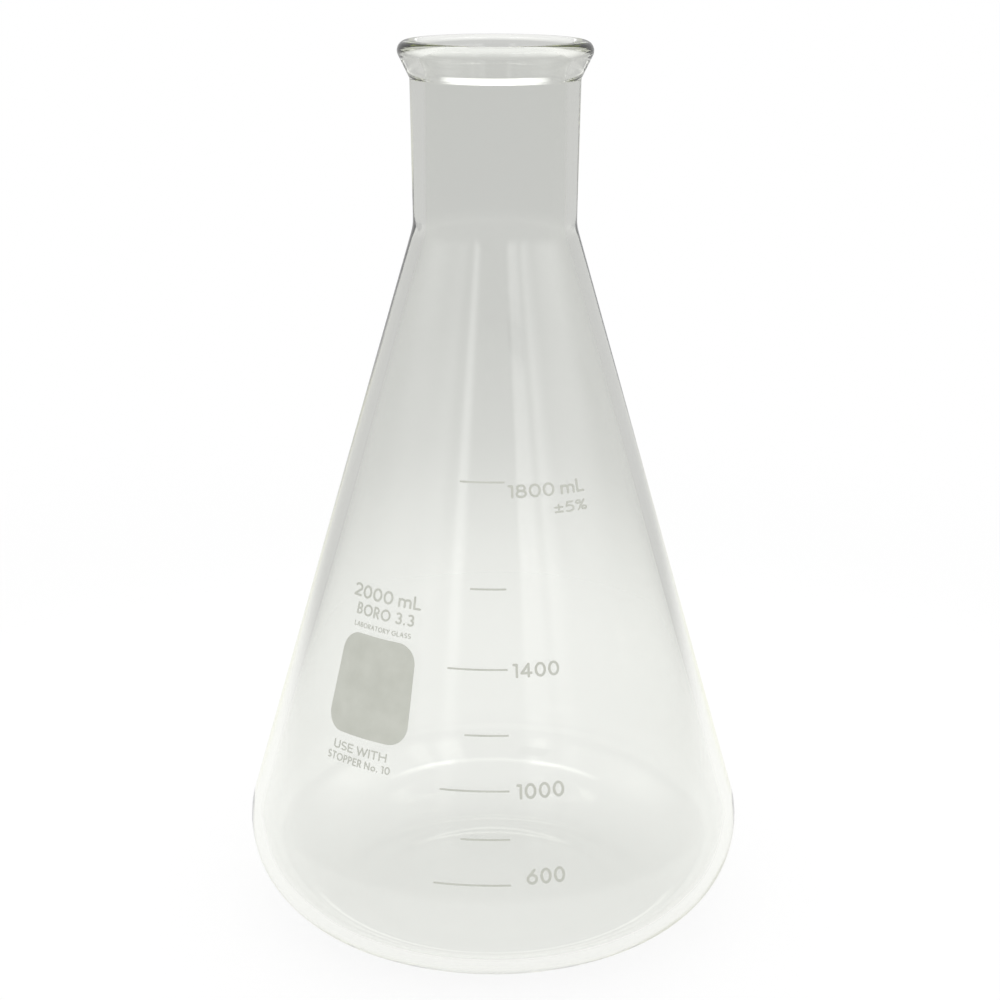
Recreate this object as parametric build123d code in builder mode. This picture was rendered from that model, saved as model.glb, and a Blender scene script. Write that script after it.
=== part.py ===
"""Two-litre Erlenmeyer flask: one blown-glass body with a printed enamel scale and label.

Millimetres. +Z is up and is the axis of the flask. The origin is on that axis, on the surface
that the flask stands on. The volume scale faces -Y, and angles around the flask are measured
from there, positive towards +X. The glass is one revolved piece. Every printed mark is a thin
film of enamel that lies on the outside of the conical wall, in a node of its own.
"""

from build123d import *
import os
from math import cos, degrees, radians, sin, tan

os.makedirs("parts", exist_ok=True)

# ---------------------------------------------------------------- glass: driving dimensions
height = 280.0
body_radius = 79.65  # widest point, at the middle of the heel
cone_half_angle = 16.0
heel_radius = 30.0  # the rounded corner between the base and the cone
wall = 4.0
foot_inner_radius = 41.0  # the flask stands on the flat ring outside this
push_up = 1.6  # rise of the underside at the axis

neck_foot_radius = 25.2  # outside of the neck where it leaves the cone
neck_top_radius = 26.0  # outside of the neck just under the rim
neck_top_z = 268.8
bore_radius = 21.5
shoulder_radius = 15.0  # hollow curve between the cone and the neck, on the outside
rim_root_radius = 1.5  # hollow curve between the neck and the flared rim
rim_flare_angle = 26.0
rim_lip_radius = 3.0
mouth_radius = 23.4  # the mouth inside the rim is wider than the bore under it
mouth_foot_z = 277.0
mouth_lip_radius = 1.6
mouth_foot_rounding = 4.0
bore_top_z = 271.5
bore_top_rounding = 9.0

# ---------------------------------------------------------------- enamel: driving dimensions
film = 0.10  # thickness of the fired enamel
line_width = 0.55
line_end_angle = 3.9  # every graduation line ends here, beside its numeral
long_line_angle = 17.0
short_line_angle = 11.4
graduation_heights = {
    600: 40.6,
    800: 53.5,
    1000: 67.2,
    1200: 82.95,
    1400: 101.6,
    1600: 124.4,
    1800: 154.75,
}
numbered_volumes = (600, 1000, 1400, 1800)

patch_middle_angle = -35.85  # the label block, left of the scale
patch_half_angle = 12.95
patch_low_z = 77.25
patch_high_z = 106.75
patch_corner_radius = 6.2

# Each line of lettering: characters, capital height, angles of its two ends, baseline height.
lettering = {
    "numeral_600": [("600", 4.7, 7.35, 16.0, 40.55)],
    "numeral_1000": [("1000", 4.7, 5.6, 17.35, 64.8)],
    "numeral_1400": [("1400", 4.4, 5.3, 18.7, 99.2)],
    "numeral_1800_ml": [("1800 mL", 4.1, 5.0, 35.5, 150.15)],
    "tolerance_mark": [("±5%", 3.3, 22.1, 35.6, 144.9)],
    "capacity_mark": [("2000 mL", 4.05, -49.3, -22.8, 116.85)],
    "glass_type_mark": [("BORO 3.3", 3.6, -46.4, -24.6, 111.9)],
    "use_mark": [("LABORATORY GLASS", 1.55, -46.3, -25.1, 108.4)],
    "stopper_size_mark": [
        ("USE WITH", 2.7, -44.9, -27.8, 72.1),
        ("STOPPER No. 10", 2.4, -46.4, -26.4, 68.75),
    ],
}
# as shares of the capital height: a pen stroke, the space between letters and between words
pen_share = 0.17
letter_gap = 0.16
word_gap = 0.5

# ---------------------------------------------------------------- glass: derived geometry
lean = radians(cone_half_angle)
slope = tan(lean)  # loss of radius per millimetre of height
floor_radius = body_radius - heel_radius  # where the flat foot meets the heel
heel_top_z = heel_radius * (1 + sin(lean))
# the outside and the inside of the conical wall, carried down to z = 0
cone_foot_radius = floor_radius + heel_radius * cos(lean) + heel_top_z * slope
inner_foot_radius = cone_foot_radius - wall / cos(lean)
shoulder_z = (cone_foot_radius - neck_foot_radius) / slope
inner_shoulder_z = (inner_foot_radius - bore_radius) / slope
rim_corner_radius = neck_top_radius + (height - neck_top_z) * tan(radians(rim_flare_angle))


def cone_radius(z):
    """Outside radius of the conical wall at height z."""
    return cone_foot_radius - slope * z


# ---------------------------------------------------------------- glass body
with BuildPart() as flask_body:
    with BuildSketch(Plane.XZ):
        with BuildLine():
            underside = TangentArc((0, push_up), (foot_inner_radius, 0), tangent=(1, 0))
            outside = FilletPolyline(
                underside @ 1,
                (cone_foot_radius, 0),
                (neck_foot_radius, shoulder_z),
                (neck_top_radius, neck_top_z),
                (rim_corner_radius, height),
                (mouth_radius, height),
                (mouth_radius, mouth_foot_z),
                (bore_radius, bore_top_z),
                (bore_radius, inner_shoulder_z),
                (inner_foot_radius - wall * slope, wall),
                (foot_inner_radius, wall),
                radius=(
                    heel_radius,
                    shoulder_radius,
                    rim_root_radius,
                    rim_lip_radius,
                    mouth_lip_radius,
                    mouth_foot_rounding,
                    bore_top_rounding,
                    shoulder_radius + wall,
                    heel_radius - wall,
                ),
            )
            floor = TangentArc((0, wall + push_up), outside @ 1, tangent=(1, 0))
            Line(floor @ 0, underside @ 0)
        make_face()
    revolve(axis=Axis.Z)
flask_body.part.label = "flask_body"
export_step(flask_body.part, "parts/flask_body.step")

# ---------------------------------------------------------------- enamel layer
# A ring of enamel all round the printed height. Each mark is the part of it inside an outline.
layer_low_z = 35.0
layer_high_z = 165.0
proud = Vector(film * cos(lean), film * sin(lean))

with BuildPart() as enamel_layer:
    with BuildSketch(Plane.XZ):
        with BuildLine():
            glass_side = Line(
                (cone_radius(layer_low_z), layer_low_z),
                (cone_radius(layer_high_z), layer_high_z),
            )
            air_side = Line(glass_side @ 0 + proud, glass_side @ 1 + proud)
            Line(glass_side @ 0, air_side @ 0)
            Line(glass_side @ 1, air_side @ 1)
        make_face()
    revolve(axis=Axis.Z)

outline_depth = 3.0  # how far an outline is extruded to each side of the wall


def wall_plane(angle, z):
    """Plane that touches the conical wall at an angle and a height: x around, y up the slant."""
    side = radians(angle)
    radius = cone_radius(z)
    return Plane(
        origin=(radius * sin(side), -radius * cos(side), z),
        x_dir=(cos(side), sin(side), 0),
        z_dir=(cos(lean) * sin(side), -cos(lean) * cos(side), sin(lean)),
    )


def radial_plane(angle):
    """Plane through the flask's axis at an angle: x outwards, y up."""
    side = radians(angle)
    return Plane(
        origin=(0, 0, 0),
        x_dir=(sin(side), -cos(side), 0),
        z_dir=(-cos(side), -sin(side), 0),
    )


# ---------------------------------------------------------------- graduation lines
for volume, line_z in graduation_heights.items():
    line_angle = long_line_angle if volume in numbered_volumes else short_line_angle
    foot_z = line_z - line_width / 2 * cos(lean)
    top_z = line_z + line_width / 2 * cos(lean)
    with BuildPart() as graduation_line:
        with BuildSketch(radial_plane(line_end_angle - line_angle)):
            with BuildLine():
                glass_side = Line((cone_radius(foot_z), foot_z), (cone_radius(top_z), top_z))
                air_side = Line(glass_side @ 0 + proud, glass_side @ 1 + proud)
                Line(glass_side @ 0, air_side @ 0)
                Line(glass_side @ 1, air_side @ 1)
            make_face()
        revolve(axis=Axis.Z, revolution_arc=line_angle)
    graduation_line.part.label = f"graduation_line_{volume}"
    export_step(graduation_line.part, f"parts/graduation_line_{volume}.step")

# ---------------------------------------------------------------- marking patch
# The write-on patch: two edges run up the slant, two run around the wall, corners rounded.
patch_plane = wall_plane(patch_middle_angle, (patch_low_z + patch_high_z) / 2)


def patch_point(share, z):
    """Point on the wall at a share of the patch's half angle, seen square on to the patch."""
    side = radians(patch_middle_angle + share * patch_half_angle)
    radius = cone_radius(z)
    point = patch_plane.to_local_coords(Vector(radius * sin(side), -radius * cos(side), z))
    return (point.X, point.Y)


with BuildPart() as marking_patch:
    with BuildSketch(patch_plane) as patch_outline:
        with BuildLine():
            for z in (patch_low_z, patch_high_z):
                ThreePointArc(patch_point(-1, z), patch_point(0, z), patch_point(1, z))
            for share in (-1, 1):
                Line(patch_point(share, patch_low_z), patch_point(share, patch_high_z))
        make_face()
        fillet(patch_outline.vertices(), radius=patch_corner_radius)
    extrude(amount=outline_depth, both=True)
    add(enamel_layer.part, mode=Mode.INTERSECT)
marking_patch.part.label = "marking_patch"
export_step(marking_patch.part, "parts/marking_patch.step")

# ---------------------------------------------------------------- lettering
# Each character is its width and a few pen strokes, on a grid where capitals are 1 high.
# A list of points is a stroke of straight runs. An oval is a stroke along an ellipse: its
# centre, its two radii, the angle where it starts and the angle that it sweeps.


def oval(x, y, x_radius, y_radius, start=0, sweep=360):
    """Stroke along an ellipse, cut into halves when it closes on itself."""
    if abs(sweep) < 360:
        return [(x, y, x_radius, y_radius, start, sweep)]
    return [(x, y, x_radius, y_radius, start + turn, sweep / 2) for turn in (0, 180)]


def run(*points):
    """Stroke of straight runs through the points, one piece for each run."""
    return list(zip(points, points[1:]))


characters = {
    "0": (0.62, oval(0.31, 0.5, 0.31, 0.5)),
    "1": (0.2, run((0, 0.96), (0.2, 0.96), (0.2, 0))),
    "2": (0.58, oval(0.29, 0.71, 0.29, 0.29, 165, -205) + run((0.51, 0.52), (0, 0), (0.58, 0))),
    "3": (0.54, oval(0.26, 0.75, 0.25, 0.25, 150, -240) + oval(0.27, 0.26, 0.27, 0.26, 90, -250)),
    "4": (0.66, run((0.48, 0), (0.48, 1), (0, 0.27), (0.66, 0.27))),
    "5": (0.56, run((0.5, 1), (0.15, 1), (0.06, 0.56)) + oval(0.25, 0.31, 0.31, 0.31, 126, -266)),
    "6": (0.62, oval(0.31, 0.31, 0.31, 0.31) + run((0.48, 1), (0.06, 0.48))),
    "8": (0.56, oval(0.28, 0.76, 0.23, 0.24) + oval(0.28, 0.26, 0.28, 0.26)),
    "A": (0.72, run((0, 0), (0.36, 1), (0.72, 0)) + run((0.13, 0.35), (0.59, 0.35))),
    "B": (
        0.5,
        run((0.24, 1), (0, 1), (0, 0), (0.24, 0))
        + run((0, 0.52), (0.24, 0.52))
        + oval(0.22, 0.76, 0.24, 0.24, 90, -180)
        + oval(0.24, 0.26, 0.26, 0.26, 90, -180),
    ),
    "E": (0.44, run((0.44, 1), (0, 1), (0, 0), (0.44, 0)) + run((0, 0.52), (0.4, 0.52))),
    "G": (0.9, oval(0.48, 0.5, 0.48, 0.5, 40, 320) + run((0.96, 0.5), (0.55, 0.5))),
    "H": (0.6, run((0, 0), (0, 1)) + run((0.6, 0), (0.6, 1)) + run((0, 0.52), (0.6, 0.52))),
    "I": (0.0, run((0, 0), (0, 1))),
    "L": (0.42, run((0, 1), (0, 0), (0.42, 0))),
    "N": (0.66, run((0, 0), (0, 1), (0.66, 0), (0.66, 1))),
    "O": (0.9, oval(0.45, 0.5, 0.45, 0.5)),
    "P": (
        0.46,
        run((0, 0), (0, 1), (0.2, 1))
        + run((0, 0.46), (0.2, 0.46))
        + oval(0.19, 0.73, 0.27, 0.27, 90, -180),
    ),
    "R": (
        0.5,
        run((0, 0), (0, 1), (0.2, 1))
        + run((0, 0.46), (0.2, 0.46))
        + oval(0.19, 0.73, 0.27, 0.27, 90, -180)
        + run((0.2, 0.46), (0.5, 0)),
    ),
    "S": (0.5, oval(0.26, 0.74, 0.24, 0.26, 40, 230) + oval(0.25, 0.24, 0.25, 0.24, 90, -230)),
    "T": (0.52, run((0, 1), (0.52, 1)) + run((0.26, 1), (0.26, 0))),
    "U": (
        0.56,
        run((0, 1), (0, 0.28)) + oval(0.28, 0.28, 0.28, 0.28, 180, 180) + run((0.56, 0.28), (0.56, 1)),
    ),
    "W": (0.96, run((0, 1), (0.24, 0), (0.48, 1), (0.72, 0), (0.96, 1))),
    "Y": (0.64, run((0, 1), (0.32, 0.48), (0.64, 1)) + run((0.32, 0.48), (0.32, 0))),
    "m": (
        0.84,
        run((0, 0), (0, 0.64))
        + oval(0.21, 0.43, 0.21, 0.21, 180, -180)
        + run((0.42, 0.43), (0.42, 0))
        + oval(0.63, 0.43, 0.21, 0.21, 180, -180)
        + run((0.84, 0.43), (0.84, 0)),
    ),
    "o": (0.56, oval(0.28, 0.28, 0.28, 0.28)),
    ".": (0.0, run((0, 0), (0, 0.03))),
    "±": (
        0.5,
        run((0, 0.56), (0.5, 0.56)) + run((0.25, 0.3), (0.25, 0.84)) + run((0, 0.06), (0.5, 0.06)),
    ),
    "%": (
        0.72,
        oval(0.16, 0.84, 0.16, 0.16) + oval(0.56, 0.16, 0.16, 0.16) + run((0.6, 1), (0.12, 0)),
    ),
}


def character_outline(strokes, x_grid, y_grid, pen, width, plane):
    """Sketch of one character on a plane, centred on the plane's x = 0."""
    left = (pen - width) / 2
    with BuildSketch(plane) as outline:
        for stroke in strokes:
            if len(stroke) == 2:
                ends = [(left + x * x_grid, pen / 2 + y * y_grid) for x, y in stroke]
                with BuildLine():
                    Line(*ends)
                with Locations(*ends):
                    Circle(pen / 2)
            else:
                x, y, x_radius, y_radius, start, sweep = stroke
                with BuildLine():
                    EllipticalCenterArc(
                        (left + x * x_grid, pen / 2 + y * y_grid),
                        x_radius * x_grid,
                        y_radius * y_grid,
                        start_angle=start,
                        arc_size=sweep,
                    )
            trace(line_width=pen)
    return outline.sketch


def lettering_outlines(text, capital, start, end, z):
    """Sketches of a line of text, its characters made as wide as fills the two end angles."""
    pen = pen_share * capital
    radius = cone_radius(z)
    letters = [c for c in text if c != " "]
    # a word gap is half before its space and half after it
    pairs = zip(text, text[1:])
    gaps = [capital * (word_gap / 2 if " " in pair else letter_gap) for pair in pairs]
    drawn = radians(end - start) * radius - sum(gaps) - pen * len(letters)
    x_grid = drawn / sum(characters[c][0] for c in letters)
    reach = 0
    for character, gap in zip(text, gaps + [0]):
        if character != " ":
            width = characters[character][0] * x_grid + pen
            plane = wall_plane(start + degrees((reach + width / 2) / radius), z)
            strokes = characters[character][1]
            yield character_outline(strokes, x_grid, capital - pen, pen, width, plane)
            reach += width
        reach += gap


for name, lines in lettering.items():
    with BuildPart() as mark:
        for line in lines:
            for outline in lettering_outlines(*line):
                extrude(outline, amount=outline_depth, both=True)
        add(enamel_layer.part, mode=Mode.INTERSECT)
    mark.part.label = name
    export_step(mark.part, f"parts/{name}.step")
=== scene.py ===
"""Two-litre Erlenmeyer flask: the visual model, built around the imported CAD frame.

Metres. The flask body is turned again here as one dense, closed sheet of glass with the small
unevenness of blown ware on its inside. The printed marks are the CAD nodes with a fired enamel.
"""

from math import atan2, cos, hypot, pi, radians, sin, tan

import bpy
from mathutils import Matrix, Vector


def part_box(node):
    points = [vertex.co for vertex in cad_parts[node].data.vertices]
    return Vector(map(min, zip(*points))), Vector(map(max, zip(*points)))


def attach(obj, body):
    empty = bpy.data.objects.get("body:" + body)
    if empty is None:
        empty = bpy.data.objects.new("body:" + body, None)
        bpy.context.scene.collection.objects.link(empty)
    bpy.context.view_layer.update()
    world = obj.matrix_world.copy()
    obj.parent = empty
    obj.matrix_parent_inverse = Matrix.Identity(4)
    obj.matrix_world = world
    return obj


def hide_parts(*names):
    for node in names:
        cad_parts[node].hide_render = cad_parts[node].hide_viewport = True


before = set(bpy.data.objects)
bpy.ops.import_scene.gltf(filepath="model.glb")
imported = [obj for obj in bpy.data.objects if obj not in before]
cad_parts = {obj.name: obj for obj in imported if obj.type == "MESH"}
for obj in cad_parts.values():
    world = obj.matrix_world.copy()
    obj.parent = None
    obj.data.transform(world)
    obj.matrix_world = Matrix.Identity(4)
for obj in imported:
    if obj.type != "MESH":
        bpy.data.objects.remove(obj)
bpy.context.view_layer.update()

MM = 0.001

# ---------------------------------------------------------------- flask profile: the CAD's own dimensions
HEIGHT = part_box("flask_body")[1][2]
CONE_HALF_ANGLE = radians(16.0)
BODY_RADIUS = 79.65 * MM
HEEL_RADIUS = 30.0 * MM
WALL = 4.0 * MM
FOOT_INNER_RADIUS = 41.0 * MM
PUSH_UP = 1.6 * MM
NECK_FOOT_RADIUS = 25.2 * MM
NECK_TOP_RADIUS = 26.0 * MM
NECK_TOP_Z = 268.8 * MM
BORE_RADIUS = 21.5 * MM
SHOULDER_RADIUS = 15.0 * MM
RIM_ROOT_RADIUS = 1.5 * MM
RIM_FLARE_ANGLE = radians(26.0)
RIM_LIP_RADIUS = 3.0 * MM
MOUTH_RADIUS = 23.4 * MM
MOUTH_FOOT_Z = 277.0 * MM
MOUTH_LIP_RADIUS = 1.6 * MM
MOUTH_FOOT_ROUNDING = 4.0 * MM
BORE_TOP_Z = 271.5 * MM
BORE_TOP_ROUNDING = 9.0 * MM
ENAMEL_GAP = 0.03 * MM  # the glass stands this far under the enamel, so that the two never mix

slope = tan(CONE_HALF_ANGLE)
floor_radius = BODY_RADIUS - HEEL_RADIUS
heel_top_z = HEEL_RADIUS * (1 + sin(CONE_HALF_ANGLE))
cone_foot_radius = floor_radius + HEEL_RADIUS * cos(CONE_HALF_ANGLE) + heel_top_z * slope
inner_foot_radius = cone_foot_radius - WALL / cos(CONE_HALF_ANGLE)
shoulder_z = (cone_foot_radius - NECK_FOOT_RADIUS) / slope
inner_shoulder_z = (inner_foot_radius - BORE_RADIUS) / slope
rim_corner_radius = NECK_TOP_RADIUS + (HEIGHT - NECK_TOP_Z) * tan(RIM_FLARE_ANGLE)

# ---------------------------------------------------------------- mesh of the glass
ARC_STEP = radians(3.0)
LINE_STEP = 3.0 * MM
DOME_STEPS = 12
SECTORS = 320
FADE_LENGTH = 20 * MM  # the unevenness dies away over this height, at the rim and at the floor
# waves on the inside of the wall: (size, waves round the flask, phase, twist over the height)
UNEVENNESS = (
    (0.05 * MM, 2, 0.7, 4),
    (0.035 * MM, 5, 2.1, -3),
    (0.02 * MM, 9, 0.3, 9),
    (0.012 * MM, 17, 1.3, 0),
)


def rounded_corner(before, corner, after, radius):
    """Points of the arc that rounds a corner between two straight lines."""
    into = (corner - before).normalized()
    out = (after - corner).normalized()
    turn = atan2(into.x * out.y - into.y * out.x, into.dot(out))
    reach = radius * tan(abs(turn) / 2)
    start = corner - into * reach
    inward = Vector((-into.y, into.x)) * (1 if turn > 0 else -1)
    centre = start + inward * radius
    count = max(2, round(abs(turn) / ARC_STEP))
    points = []
    for step in range(count + 1):
        angle = turn * step / count
        spoke = start - centre
        points.append(
            centre
            + Vector(
                (
                    spoke.x * cos(angle) - spoke.y * sin(angle),
                    spoke.x * sin(angle) + spoke.y * cos(angle),
                )
            )
        )
    return points


def dome(rise, radius, base_z):
    """Points of a shallow dome from the axis out to its edge."""
    sphere = (radius**2 + rise**2) / (2 * rise)
    points = []
    for step in range(DOME_STEPS):
        r = radius * step / DOME_STEPS
        points.append(Vector((r, base_z + rise - (sphere - (sphere**2 - r**2) ** 0.5))))
    return points


def flask_outline():
    """The glass in section, from the axis under the base, round the rim, to the axis inside."""
    corners = [
        (FOOT_INNER_RADIUS, 0, 0),
        (cone_foot_radius, 0, HEEL_RADIUS),
        (NECK_FOOT_RADIUS, shoulder_z, SHOULDER_RADIUS),
        (NECK_TOP_RADIUS, NECK_TOP_Z, RIM_ROOT_RADIUS),
        (rim_corner_radius, HEIGHT, RIM_LIP_RADIUS),
        (MOUTH_RADIUS, HEIGHT, MOUTH_LIP_RADIUS),
        (MOUTH_RADIUS, MOUTH_FOOT_Z, MOUTH_FOOT_ROUNDING),
        (BORE_RADIUS, BORE_TOP_Z, BORE_TOP_ROUNDING),
        (BORE_RADIUS, inner_shoulder_z, SHOULDER_RADIUS + WALL),
        (inner_foot_radius - WALL * slope, WALL, HEEL_RADIUS - WALL),
        (FOOT_INNER_RADIUS, WALL, 0),
    ]
    spots = [Vector((r, z)) for r, z, _ in corners]
    points = dome(PUSH_UP, FOOT_INNER_RADIUS, 0)
    points.append(spots[0])
    for before, corner, after, (_, _, radius) in zip(spots, spots[1:], spots[2:], corners[1:]):
        points += rounded_corner(before, corner, after, radius)
    points.append(spots[-1])
    points += reversed(dome(PUSH_UP, FOOT_INNER_RADIUS, WALL))
    return points


def subdivided(points):
    """The same outline with its long runs cut into short steps."""
    fine = [points[0]]
    for start, end in zip(points, points[1:]):
        count = max(1, round((end - start).length / LINE_STEP))
        fine += [start.lerp(end, step / count) for step in range(1, count + 1)]
    return fine


def blown_unevenness(angle, z):
    """How far the inside of the wall stands off its true place, in metres."""
    return sum(
        size * sin(waves * angle + phase + twist * z / HEIGHT)
        for size, waves, phase, twist in UNEVENNESS
    )


def end_fade(z):
    """1 along the wall, and down to 0 at the rim and at the inside of the floor."""
    below_rim = max(0.0, (HEIGHT - z) / FADE_LENGTH)
    above_floor = max(0.0, (z - WALL) / FADE_LENGTH)
    return min(1.0, below_rim, above_floor)


def turned_glass(name):
    """Closed mesh of the glass: the outline turned about the axis."""
    outline = subdivided(flask_outline())
    inside_from = max(range(len(outline)), key=lambda i: outline[i].y)
    vertices = [(0, 0, outline[0].y)]
    for index, point in enumerate(outline[1:-1], start=1):
        inside = index > inside_from
        fade = end_fade(point.y)
        for sector in range(SECTORS):
            angle = 2 * pi * sector / SECTORS
            if inside:
                radius = point.x + fade * blown_unevenness(angle, point.y)
            else:
                radius = point.x - ENAMEL_GAP * fade
            vertices.append((radius * sin(angle), -radius * cos(angle), point.y))
    vertices.append((0, 0, outline[-1].y))
    rings = len(outline) - 2
    faces = []
    last = len(vertices) - 1
    for sector in range(SECTORS):
        beside = (sector + 1) % SECTORS
        faces.append((0, 1 + beside, 1 + sector))
        for ring in range(rings - 1):
            low = 1 + ring * SECTORS
            high = low + SECTORS
            faces.append((low + sector, low + beside, high + beside, high + sector))
        top = 1 + (rings - 1) * SECTORS
        faces.append((top + sector, top + beside, last))
    mesh = bpy.data.meshes.new(name)
    mesh.from_pydata(vertices, [], faces)
    mesh.validate()
    for polygon in mesh.polygons:
        polygon.use_smooth = True
    piece = bpy.data.objects.new(name, mesh)
    bpy.context.scene.collection.objects.link(piece)
    return piece


# ---------------------------------------------------------------- materials
GLASS_COLOUR = (0.94, 0.945, 0.935, 1)
GLASS_IOR = 1.473
GLASS_TINT = (0.86, 0.89, 0.58, 1)  # what light keeps as it runs through the glass
GLASS_TINT_DENSITY = 9.0
ENAMEL_DARK = (0.47, 0.48, 0.43, 1)
ENAMEL_LIGHT = (0.52, 0.53, 0.48, 1)
ENAMEL_CLOUD_RANGE = (0.3, 0.75)  # noise levels of the dark and of the light enamel
ENAMEL_CLOUD_SCALE = 160.0
ENAMEL_GRAIN_SCALE = 2500.0
ENAMEL_GRAIN_STRENGTH = 0.25
ENAMEL_GRAIN_DEPTH = 0.02 * MM
ENAMEL_ROUGHNESS = 0.5
ENAMEL_SPECULAR = 0.12


def new_material(name):
    """Material with a lone Principled shader: (material, its nodes, its links, the shader)."""
    material = bpy.data.materials.new(name)
    material.use_nodes = True
    nodes = material.node_tree.nodes
    return material, nodes, material.node_tree.links, nodes["Principled BSDF"]


def borosilicate():
    """Clear borosilicate glass that turns olive where light runs a long way through it."""
    material, nodes, links, shader = new_material("borosilicate_glass")
    shader.inputs["Base Color"].default_value = GLASS_COLOUR
    shader.inputs["Roughness"].default_value = 0.0
    shader.inputs["IOR"].default_value = GLASS_IOR
    shader.inputs["Transmission Weight"].default_value = 1.0
    tint = nodes.new("ShaderNodeVolumeAbsorption")
    tint.inputs["Color"].default_value = GLASS_TINT
    tint.inputs["Density"].default_value = GLASS_TINT_DENSITY
    links.new(tint.outputs["Volume"], nodes["Material Output"].inputs["Volume"])
    return material


def fired_enamel():
    """Grey-white ceramic ink, fired on: slightly mottled, satin, with a fine grain."""
    material, nodes, links, shader = new_material("fired_enamel")
    position = nodes.new("ShaderNodeTexCoord")
    cloud = nodes.new("ShaderNodeTexNoise")
    cloud.inputs["Scale"].default_value = ENAMEL_CLOUD_SCALE
    cloud.inputs["Detail"].default_value = 3.0
    links.new(position.outputs["Object"], cloud.inputs["Vector"])
    colour = nodes.new("ShaderNodeValToRGB")
    for stop, place, shade in zip(
        colour.color_ramp.elements, ENAMEL_CLOUD_RANGE, (ENAMEL_DARK, ENAMEL_LIGHT)
    ):
        stop.position = place
        stop.color = shade
    links.new(cloud.outputs["Fac"], colour.inputs["Fac"])
    links.new(colour.outputs["Color"], shader.inputs["Base Color"])
    grain = nodes.new("ShaderNodeTexNoise")
    grain.inputs["Scale"].default_value = ENAMEL_GRAIN_SCALE
    grain.inputs["Detail"].default_value = 2.0
    links.new(position.outputs["Object"], grain.inputs["Vector"])
    bump = nodes.new("ShaderNodeBump")
    bump.inputs["Strength"].default_value = ENAMEL_GRAIN_STRENGTH
    bump.inputs["Distance"].default_value = ENAMEL_GRAIN_DEPTH
    links.new(grain.outputs["Fac"], bump.inputs["Height"])
    links.new(bump.outputs["Normal"], shader.inputs["Normal"])
    shader.inputs["Roughness"].default_value = ENAMEL_ROUGHNESS
    shader.inputs["Specular IOR Level"].default_value = ENAMEL_SPECULAR
    return material


# ---------------------------------------------------------------- the object
flask_glass = turned_glass("flask_glass")
flask_glass.data.materials.append(borosilicate())
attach(flask_glass, "root")
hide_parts("flask_body")

enamel = fired_enamel()
for name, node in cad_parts.items():
    if name != "flask_body":
        node.data.materials.clear()
        node.data.materials.append(enamel)

# ---------------------------------------------------------------- floor
FLOOR_RADIUS = 0.62
FLOOR_SOLID_RADIUS = 0.20  # the floor starts to fade out here
FLOOR_SIDES = 96
FLOOR_COLOUR = (0.1, 0.1, 0.1, 1)  # dark enough that the flask casts almost no shadow
FLOOR_LIGHT = 0.90  # the floor glows, so that it stays white under the flask
FLOOR_DROP = 0.1 * MM  # keeps the floor from sharing a plane with the flask's foot


def linked_node(owner, kind, *sources):
    """New shader node whose first inputs come from the given outputs."""
    tree = owner.node_tree
    node = tree.nodes.new(kind)
    for socket, source in zip(node.inputs, sources):
        tree.links.new(source, socket)
    return node


def smooth_step(owner, value, start, end, low=0.0, high=1.0):
    """Output that goes smoothly from low to high while the value goes from start to end."""
    node = linked_node(owner, "ShaderNodeMapRange", value)
    node.interpolation_type = "SMOOTHSTEP"
    node.inputs["From Min"].default_value = start
    node.inputs["From Max"].default_value = end
    node.inputs["To Min"].default_value = low
    node.inputs["To Max"].default_value = high
    return node.outputs["Result"]


def pale_floor():
    """Round white floor that fades out at its edge, so that no line shows behind the flask."""
    turns = [2 * pi * side / FLOOR_SIDES for side in range(FLOOR_SIDES)]
    ring = [(FLOOR_RADIUS * cos(turn), FLOOR_RADIUS * sin(turn), -FLOOR_DROP) for turn in turns]
    mesh = bpy.data.meshes.new("floor")
    mesh.from_pydata(ring, [], [tuple(range(FLOOR_SIDES))])
    floor = bpy.data.objects.new("floor", mesh)
    bpy.context.scene.collection.objects.link(floor)
    material, nodes, links, shader = new_material("floor_white")
    shader.inputs["Base Color"].default_value = FLOOR_COLOUR
    shader.inputs["Roughness"].default_value = 1.0
    shader.inputs["Specular IOR Level"].default_value = 0.0
    shader.inputs["Emission Color"].default_value = (1.0, 1.0, 1.0, 1)
    shader.inputs["Emission Strength"].default_value = FLOOR_LIGHT
    position = nodes.new("ShaderNodeTexCoord").outputs["Object"]
    distance = linked_node(material, "ShaderNodeVectorMath", position)
    distance.operation = "LENGTH"
    fade = smooth_step(material, distance.outputs["Value"], FLOOR_SOLID_RADIUS, FLOOR_RADIUS, 1.0, 0.0)
    links.new(fade, shader.inputs["Alpha"])
    mesh.materials.append(material)
    return floor


# ---------------------------------------------------------------- light
# Each row of lights is a strength, a span and a share. The span is two pairs of sines of the
# elevation: it fades in over the first pair and out over the second. The share is the part of
# the strength at each azimuth, in degrees from the front. Only the glass shows these rows.
FILL_LIGHT = 1.15  # even light on the enamel and the floor
WINDOW_LIGHT = 1.3  # bright panels in front and at the sides
WINDOW_SPAN = ((0.05, 0.30), (0.9, 0.5))
WINDOW_SHARE = (
    (-120, 0.0),
    (-90, 0.7),
    (-60, 0.3),
    (-44, 0.45),
    (-35, 0.1),
    (-30, 0.2),
    (-27, 1.0),
    (-23, 1.0),
    (-20, 0.2),
    (-17, 0.0),
    (17, 0.0),
    (19, 0.9),
    (29, 0.9),
    (33, 0.3),
    (36, 0.4),
    (38, 1.0),
    (45, 0.8),
    (50, 0.3),
    (68, 0.7),
    (88, 1.0),
    (98, 0.5),
    (120, 0.0),
)
HIGH_LIGHT = 4.0  # a row of lamps, high in front
HIGH_LIGHT_SPAN = ((0.66, 0.68), (0.74, 0.72))
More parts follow.
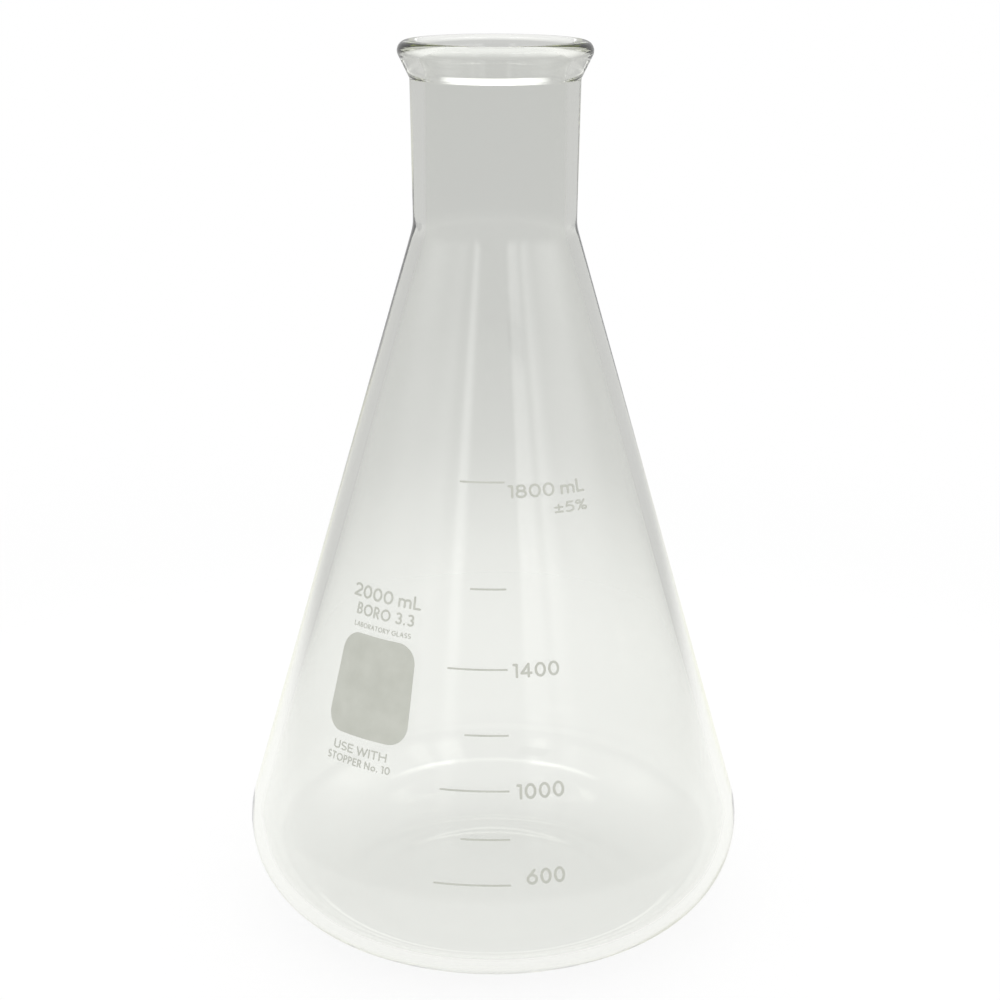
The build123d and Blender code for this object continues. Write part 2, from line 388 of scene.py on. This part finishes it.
HIGH_LIGHT_SHARE = (
    (-75, 0.0),
    (-60, 0.5),
    (-38, 1.0),
    (-30, 1.0),
    (-24, 0.3),
    (22, 0.3),
    (30, 1.0),
    (42, 1.0),
    (75, 0.0),
)
BACK_LIGHT = 1.2  # a narrow bright strip, low behind the flask
BACK_LIGHT_SPAN = ((0.12, 0.15), (0.24, 0.20))
BACK_LIGHT_SHARE = (
    (-180, 1.0),
    (-176, 1.0),
    (-168, 0.0),
    (168, 0.0),
    (176, 1.0),
    (180, 1.0),
)
LIGHT_ROWS = (
    (WINDOW_LIGHT, WINDOW_SPAN, WINDOW_SHARE),
    (HIGH_LIGHT, HIGH_LIGHT_SPAN, HIGH_LIGHT_SHARE),
    (BACK_LIGHT, BACK_LIGHT_SPAN, BACK_LIGHT_SHARE),
)
# backdrop: sine of the elevation, and grey level
BACKDROP = ((-0.45, 1.0), (-0.2, 0.66), (0.1, 0.60), (1.0, 0.60))


def grey_ramp(owner, value, stops):
    """Output of a ramp of greys: stops are (place from 0 to 1, grey level from 0 to 1)."""
    node = linked_node(owner, "ShaderNodeValToRGB", value)
    elements = node.color_ramp.elements
    while len(elements) > 1:
        elements.remove(elements[-1])
    for index, (place, level) in enumerate(stops):
        stop = elements[0] if index == 0 else elements.new(place)
        stop.position = place
        stop.color = (level, level, level, 1)
    return node.outputs["Color"]


def math_node(owner, operation, *values):
    """Output of a math node; each value is an output or a number."""
    tree = owner.node_tree
    node = tree.nodes.new("ShaderNodeMath")
    node.operation = operation
    for socket, value in zip(node.inputs, values):
        if isinstance(value, (int, float)):
            socket.default_value = value
        else:
            tree.links.new(value, socket)
    return node.outputs["Value"]


def studio_light(world):
    """Output of the brightness of the studio in each direction, as the glass shows it."""
    direction = world.node_tree.nodes.new("ShaderNodeTexCoord").outputs["Generated"]
    x, y, z = linked_node(world, "ShaderNodeSeparateXYZ", direction).outputs
    height = math_node(world, "MULTIPLY_ADD", z, 0.5, 0.5)
    studio = grey_ramp(world, height, [((sine + 1) / 2, level) for sine, level in BACKDROP])
    azimuth = math_node(world, "ARCTAN2", x, math_node(world, "MULTIPLY", y, -1.0))
    turn = math_node(world, "MULTIPLY_ADD", azimuth, 0.5 / pi, 0.5)
    for strength, span, shares in LIGHT_ROWS:
        row = grey_ramp(world, turn, [(degrees / 360 + 0.5, share) for degrees, share in shares])
        for start, end in span:
            row = math_node(world, "MULTIPLY", row, smooth_step(world, z, start, end))
        studio = math_node(world, "MULTIPLY_ADD", row, strength, studio)
    return studio


def background(world, strength):
    """Output of a white background shader of the given strength."""
    node = linked_node(world, "ShaderNodeBackground")
    node.inputs["Color"].default_value = (1, 1, 1, 1)
    node.inputs["Strength"].default_value = strength
    return node.outputs["Background"]


def studio_world():
    """White to the camera, an even soft light on surfaces, and a grey studio in the glass."""
    world = bpy.data.worlds.new("studio")
    world.use_nodes = True
    world.node_tree.nodes.clear()
    path = world.node_tree.nodes.new("ShaderNodeLightPath")
    room = background(world, 1.0)
    world.node_tree.links.new(studio_light(world), room.node.inputs["Strength"])
    for_surfaces = linked_node(
        world,
        "ShaderNodeMixShader",
        path.outputs["Is Diffuse Ray"],
        room,
        background(world, FILL_LIGHT),
    )
    for_camera = linked_node(
        world,
        "ShaderNodeMixShader",
        path.outputs["Is Camera Ray"],
        for_surfaces.outputs["Shader"],
        background(world, 1.0),
    )
    linked_node(world, "ShaderNodeOutputWorld", for_camera.outputs["Shader"])
    bpy.context.scene.world = world


pale_floor()
studio_world()

# ---------------------------------------------------------------- camera
CAMERA_DISTANCE = 632 * MM
CAMERA_HEIGHT = 326.4 * MM
CAMERA_PITCH = radians(15.33)
CAMERA_ROLL = radians(-0.173)
CAMERA_SENSOR_WIDTH = 36.0
CAMERA_LENS = 74.56
CAMERA_SHIFT = (0.004, -0.0526)
camera_data = bpy.data.cameras.new("camera")
camera_data.sensor_width = CAMERA_SENSOR_WIDTH
camera_data.lens = CAMERA_LENS
camera_data.shift_x = CAMERA_SHIFT[0]
camera_data.shift_y = CAMERA_SHIFT[1]
camera = bpy.data.objects.new("camera", camera_data)
camera.location = (0, -CAMERA_DISTANCE, CAMERA_HEIGHT)
camera.rotation_mode = "XYZ"
camera.rotation_euler = (pi / 2 - CAMERA_PITCH, CAMERA_ROLL, 0)
bpy.context.scene.collection.objects.link(camera)
bpy.context.scene.camera = camera

# ---------------------------------------------------------------- render settings
LIGHT_BOUNCES = 32  # light piped round inside the rim meets many surfaces before it leaves
bpy.context.scene.view_settings.view_transform = "Standard"
bpy.context.scene.cycles.max_bounces = LIGHT_BOUNCES
bpy.context.scene.cycles.glossy_bounces = LIGHT_BOUNCES
bpy.context.scene.cycles.transmission_bounces = LIGHT_BOUNCES
